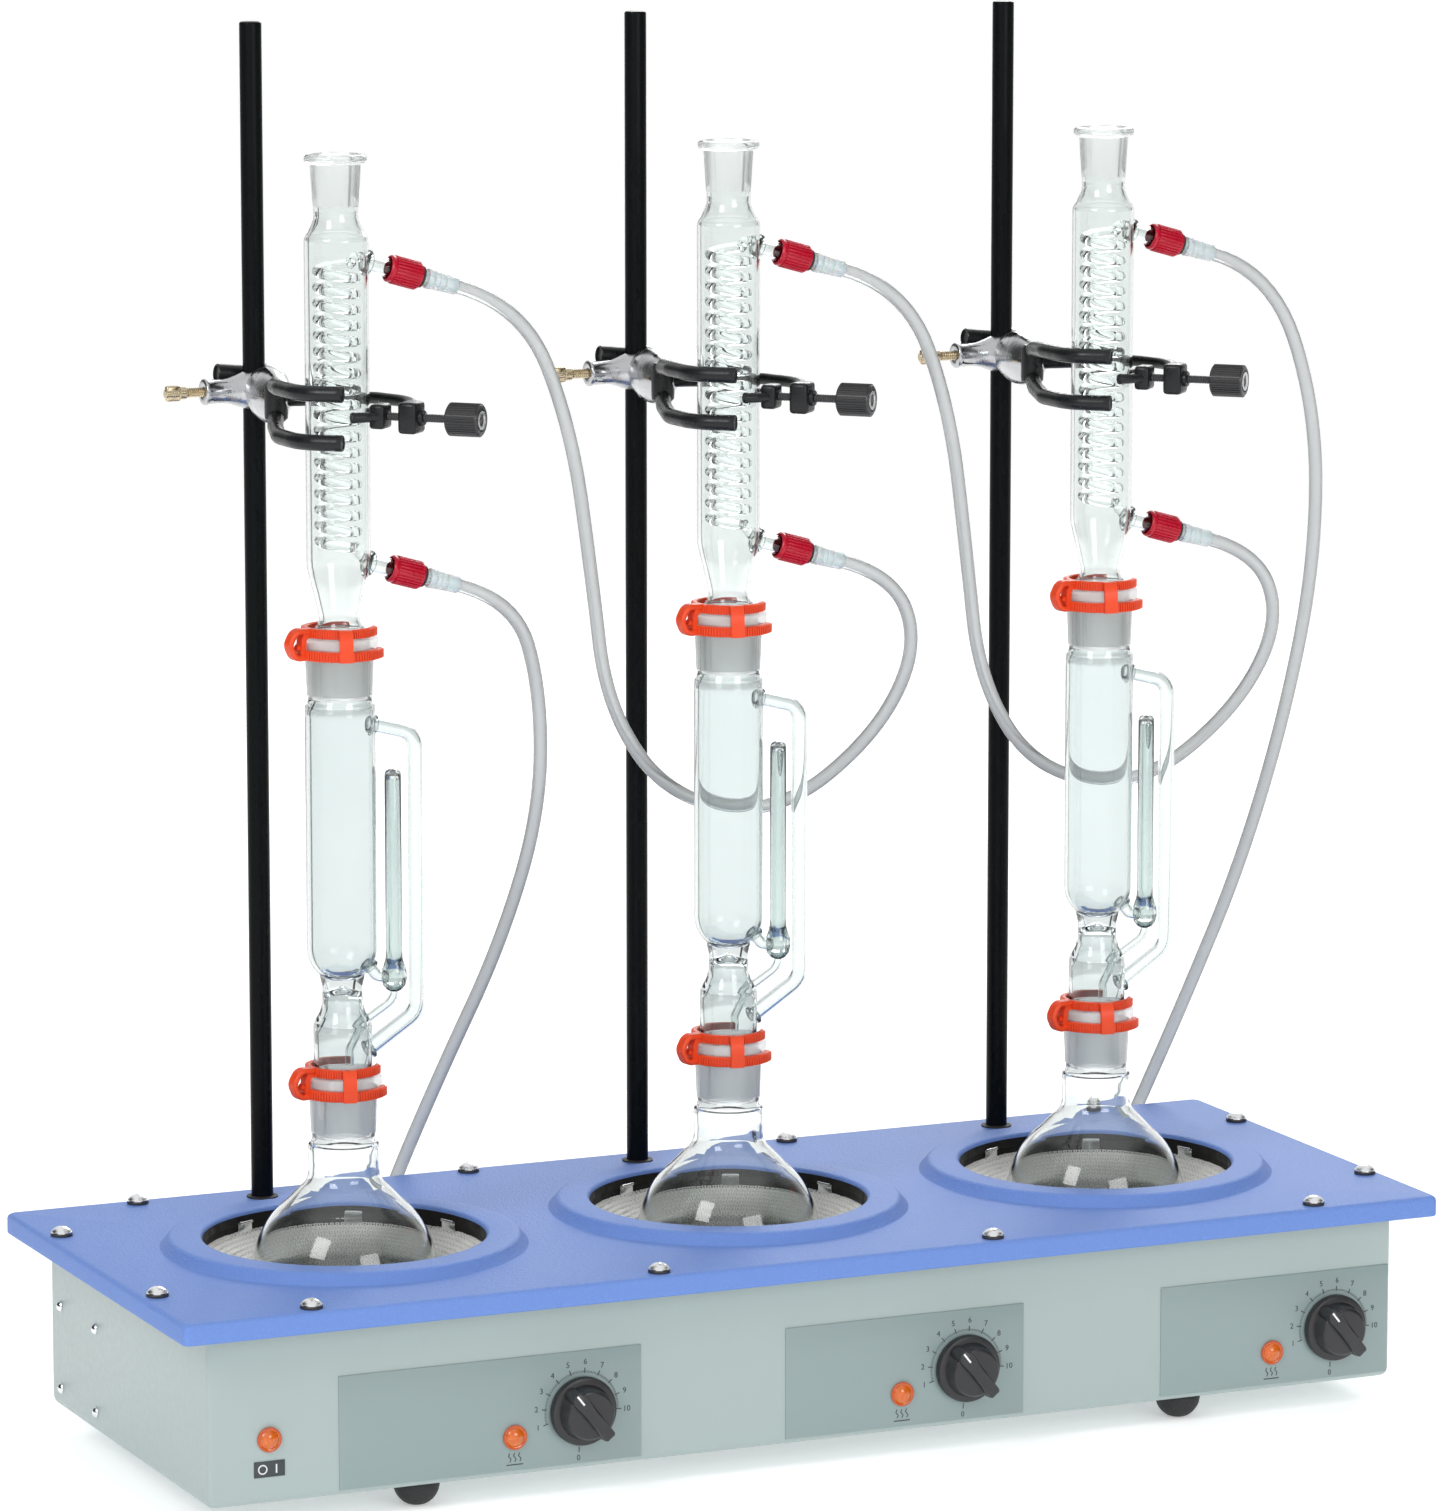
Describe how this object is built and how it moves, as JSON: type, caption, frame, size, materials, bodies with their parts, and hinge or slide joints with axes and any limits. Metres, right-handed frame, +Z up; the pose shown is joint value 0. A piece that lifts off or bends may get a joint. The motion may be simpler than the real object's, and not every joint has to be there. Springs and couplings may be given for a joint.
{
  "type": "soxhlet extraction unit",
  "caption": "Heated bench unit for Soxhlet extraction: boiling flasks in wells, extractors and coil condensers clamped to upright rods, joined by cooling-water hoses.",
  "frame": {"origin": "on the bench, under the middle of the base", "axes": "+X along the long side with the hose ports pointing to +X, +Y from the control side to the upright rods, +Z up"},
  "size_m": [0.786, 0.457, 0.803],
  "materials": {
    "case_paint": "smooth satin enamel",
    "plate_vinyl": "leather-grained vinyl coating on steel",
    "panel_print": "printed satin plate",
    "black_enamel": "black enamel",
    "knitted_element": "knitted glass fibre and wire",
    "bright_steel": "bright plated steel",
    "cast_aluminium": "polished casting",
    "brass": "turned brass",
    "clear_glass": "clear borosilicate, ground joints",
    "hose_silicone": "clear grey tubing",
    "foot_rubber": "moulded",
    "black_vinyl": "soft dipped coating",
    "black_plastic": "moulded",
    "connector_plastic": "translucent white",
    "orange_plastic": "moulded, ribbed",
    "crimson_plastic": "moulded, ribbed",
    "lamp_lens": "moulded lens"
  },
  "bodies": {
    "base": {"case": "case_paint", "top_plate": "plate_vinyl", "feet": "foot_rubber", "plate_screws": "bright_steel", "end_screws": "bright_steel", "control_panels": "panel_print", "pilot_lamps": "lamp_lens", "mains_inlet": "black_plastic", "energy_regulators": "black_plastic", "well_liners": "black_enamel", "liner_clips": "bright_steel", "heating_mantles": "knitted_element", "upright_rods": "black_enamel", "hose_connectors": "connector_plastic", "condenser_coils": "clear_glass", "flask_1": "clear_glass", "extractor_1": "clear_glass", "condenser_1": "clear_glass", "flask_2": "clear_glass", "extractor_2": "clear_glass", "condenser_2": "clear_glass", "flask_3": "clear_glass", "extractor_3": "clear_glass", "condenser_3": "clear_glass", "drain_hose": "hose_silicone", "link_hose_1": "hose_silicone", "link_hose_2": "hose_silicone", "feed_hose": "hose_silicone", "drain_hose_coil": "hose_silicone", "feed_hose_coil": "hose_silicone"},
    "knob_1": {"control_knob_1": "black_plastic"},
    "low_clip_1": {"lower_clip_1": "orange_plastic"},
    "high_clip_1": {"upper_clip_1": "orange_plastic"},
    "low_cap_1": {"lower_cap_1": "crimson_plastic"},
    "high_cap_1": {"upper_cap_1": "crimson_plastic"},
    "clamp_1": {"clamp_body_1": "cast_aluminium", "clamp_frame_1": "black_vinyl"},
    "thumbscrew_1": {"clamp_thumbscrew_1": "brass"},
    "jaw_1": {"clamp_jaw_1": "black_vinyl"},
    "adjuster_1": {"clamp_adjuster_1": "black_plastic"},
    "knob_2": {"control_knob_2": "black_plastic"},
    "low_clip_2": {"lower_clip_2": "orange_plastic"},
    "high_clip_2": {"upper_clip_2": "orange_plastic"},
    "low_cap_2": {"lower_cap_2": "crimson_plastic"},
    "high_cap_2": {"upper_cap_2": "crimson_plastic"},
    "clamp_2": {"clamp_body_2": "cast_aluminium", "clamp_frame_2": "black_vinyl"},
    "thumbscrew_2": {"clamp_thumbscrew_2": "brass"},
    "jaw_2": {"clamp_jaw_2": "black_vinyl"},
    "adjuster_2": {"clamp_adjuster_2": "black_plastic"},
    "knob_3": {"control_knob_3": "black_plastic"},
    "low_clip_3": {"lower_clip_3": "orange_plastic"},
    "high_clip_3": {"upper_clip_3": "orange_plastic"},
    "low_cap_3": {"lower_cap_3": "crimson_plastic"},
    "high_cap_3": {"upper_cap_3": "crimson_plastic"},
    "clamp_3": {"clamp_body_3": "cast_aluminium", "clamp_frame_3": "black_vinyl"},
    "thumbscrew_3": {"clamp_thumbscrew_3": "brass"},
    "jaw_3": {"clamp_jaw_3": "black_vinyl"},
    "adjuster_3": {"clamp_adjuster_3": "black_plastic"}
  },
  "joints": [
    {"name": "knob_turn_1", "type": "hinge", "parent": "base", "child": "knob_1", "pos_m": [-0.146, -0.14, 0.0478], "axis": [0, -1, 0], "range_deg": [-132.7, 137.5]},
    {"name": "lower_clip_swivel_1", "type": "hinge", "parent": "base", "child": "low_clip_1", "pos_m": [-0.237, -0.004, 0.2175], "axis": [0, 0, 1], "continuous": true},
    {"name": "upper_clip_swivel_1", "type": "hinge", "parent": "base", "child": "high_clip_1", "pos_m": [-0.237, -0.004, 0.4655], "axis": [0, 0, 1], "continuous": true},
    {"name": "lower_cap_turn_1", "type": "hinge", "parent": "base", "child": "low_cap_1", "pos_m": [-0.19711, -0.004, 0.50356], "axis": [0.9613, 0, -0.2756], "range_deg": [0, 720]},
    {"name": "upper_cap_turn_1", "type": "hinge", "parent": "base", "child": "high_cap_1", "pos_m": [-0.19711, -0.004, 0.67106], "axis": [0.9613, 0, -0.2756], "range_deg": [0, 720]},
    {"name": "clamp_height_1", "type": "slide", "parent": "base", "child": "clamp_1", "axis": [0, 0, 1], "range_m": [-0.04, 0.04]},
    {"name": "thumbscrew_turn_1", "type": "hinge", "parent": "clamp_1", "child": "thumbscrew_1", "pos_m": [-0.267, 0.1276, 0.594], "axis": [-1, 0, 0], "range_deg": [0, 720]},
    {"name": "jaw_slide_1", "type": "slide", "parent": "clamp_1", "child": "jaw_1", "axis": [0.7071, -0.7071, 0], "range_m": [0, 0.0078]},
    {"name": "adjuster_turn_1", "type": "hinge", "parent": "jaw_1", "child": "adjuster_1", "pos_m": [-0.187, -0.054, 0.594], "axis": [0.7071, -0.7071, 0], "range_deg": [0, 2250]},
    {"name": "knob_turn_2", "type": "hinge", "parent": "base", "child": "knob_2", "pos_m": [0.091, -0.14, 0.0478], "axis": [0, -1, 0], "range_deg": [-132.7, 137.5]},
    {"name": "lower_clip_swivel_2", "type": "hinge", "parent": "base", "child": "low_clip_2", "pos_m": [0, -0.004, 0.2175], "axis": [0, 0, 1], "continuous": true},
    {"name": "upper_clip_swivel_2", "type": "hinge", "parent": "base", "child": "high_clip_2", "pos_m": [0, -0.004, 0.4655], "axis": [0, 0, 1], "continuous": true},
    {"name": "lower_cap_turn_2", "type": "hinge", "parent": "base", "child": "low_cap_2", "pos_m": [0.03989, -0.004, 0.50356], "axis": [0.9613, 0, -0.2756], "range_deg": [0, 720]},
    {"name": "upper_cap_turn_2", "type": "hinge", "parent": "base", "child": "high_cap_2", "pos_m": [0.03989, -0.004, 0.67106], "axis": [0.9613, 0, -0.2756], "range_deg": [0, 720]},
    {"name": "clamp_height_2", "type": "slide", "parent": "base", "child": "clamp_2", "axis": [0, 0, 1], "range_m": [-0.04, 0.04]},
    {"name": "thumbscrew_turn_2", "type": "hinge", "parent": "clamp_2", "child": "thumbscrew_2", "pos_m": [-0.03, 0.1276, 0.594], "axis": [-1, 0, 0], "range_deg": [0, 720]},
    {"name": "jaw_slide_2", "type": "slide", "parent": "clamp_2", "child": "jaw_2", "axis": [0.7071, -0.7071, 0], "range_m": [0, 0.0078]},
    {"name": "adjuster_turn_2", "type": "hinge", "parent": "jaw_2", "child": "adjuster_2", "pos_m": [0.05, -0.054, 0.594], "axis": [0.7071, -0.7071, 0], "range_deg": [0, 2250]},
    {"name": "knob_turn_3", "type": "hinge", "parent": "base", "child": "knob_3", "pos_m": [0.328, -0.14, 0.0478], "axis": [0, -1, 0], "range_deg": [-132.7, 137.5]},
    {"name": "lower_clip_swivel_3", "type": "hinge", "parent": "base", "child": "low_clip_3", "pos_m": [0.237, -0.004, 0.2175], "axis": [0, 0, 1], "continuous": true},
    {"name": "upper_clip_swivel_3", "type": "hinge", "parent": "base", "child": "high_clip_3", "pos_m": [0.237, -0.004, 0.4655], "axis": [0, 0, 1], "continuous": true},
    {"name": "lower_cap_turn_3", "type": "hinge", "parent": "base", "child": "low_cap_3", "pos_m": [0.27689, -0.004, 0.50356], "axis": [0.9613, 0, -0.2756], "range_deg": [0, 720]},
    {"name": "upper_cap_turn_3", "type": "hinge", "parent": "base", "child": "high_cap_3", "pos_m": [0.27689, -0.004, 0.67106], "axis": [0.9613, 0, -0.2756], "range_deg": [0, 720]},
    {"name": "clamp_height_3", "type": "slide", "parent": "base", "child": "clamp_3", "axis": [0, 0, 1], "range_m": [-0.04, 0.04]},
    {"name": "thumbscrew_turn_3", "type": "hinge", "parent": "clamp_3", "child": "thumbscrew_3", "pos_m": [0.207, 0.1276, 0.594], "axis": [-1, 0, 0], "range_deg": [0, 720]},
    {"name": "jaw_slide_3", "type": "slide", "parent": "clamp_3", "child": "jaw_3", "axis": [0.7071, -0.7071, 0], "range_m": [0, 0.0078]},
    {"name": "adjuster_turn_3", "type": "hinge", "parent": "jaw_3", "child": "adjuster_3", "pos_m": [0.287, -0.054, 0.594], "axis": [0.7071, -0.7071, 0], "range_deg": [0, 2250]}
  ],
  "couplings": [
    {"joint": "adjuster_turn_1", "follows": "jaw_slide_1", "rad_per_m": 5026.5},
    {"joint": "adjuster_turn_2", "follows": "jaw_slide_2", "rad_per_m": 5026.5},
    {"joint": "adjuster_turn_3", "follows": "jaw_slide_3", "rad_per_m": 5026.5}
  ]
}
